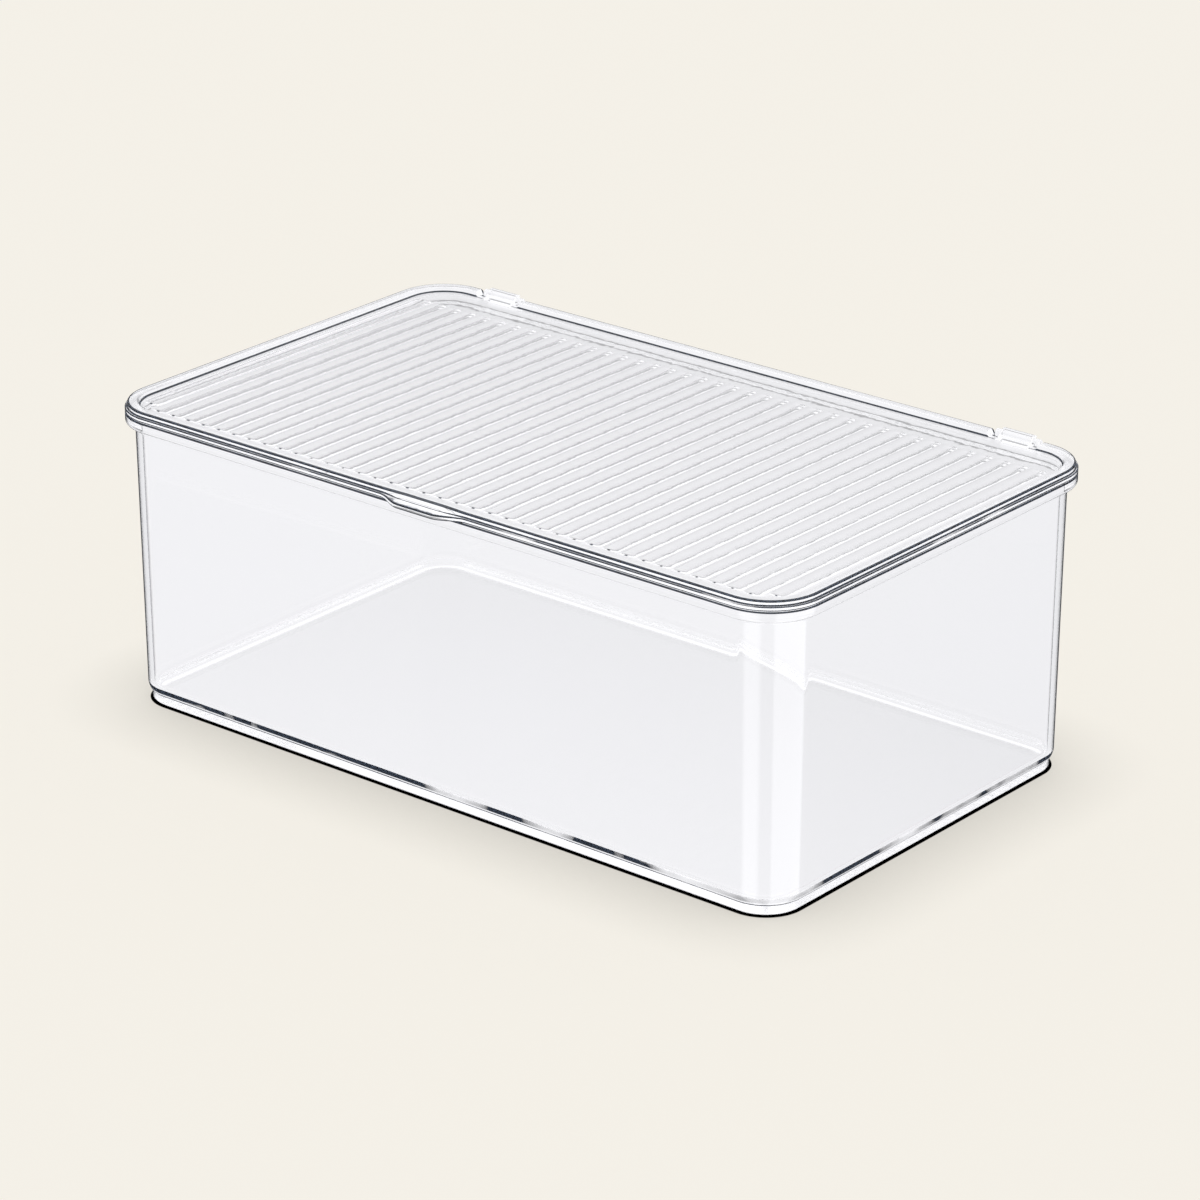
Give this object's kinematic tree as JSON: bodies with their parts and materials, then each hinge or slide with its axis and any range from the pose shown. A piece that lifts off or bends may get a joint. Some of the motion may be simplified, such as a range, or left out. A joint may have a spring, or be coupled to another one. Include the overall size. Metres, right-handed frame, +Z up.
{
  "type": "clear storage box with hinged lid",
  "caption": "Clear moulded rectangular storage box with rounded corners, a stacking foot and a fluted lid that swings up on clip-on rear hooks by a front finger tab.",
  "frame": {"origin": "middle of the tub's flat underside, at the level it stands on", "axes": "+X along the length, +Y from the finger tab towards the hinges, +Z up"},
  "size_m": [0.33, 0.2018, 0.1254],
  "materials": {
    "tub_clear": "clear, polished as moulded",
    "lid_clear": "clear, polished as moulded, with moulded flutes"
  },
  "bodies": {
    "tub": {"tub": "tub_clear"},
    "lid": {"lid": "lid_clear"}
  },
  "joints": [
    {"name": "lid_hinge", "type": "hinge", "parent": "tub", "child": "lid", "pos_m": [0, 0.097, 0.1229], "axis": [-1, 0, 0], "range_deg": [0, 105]}
  ]
}
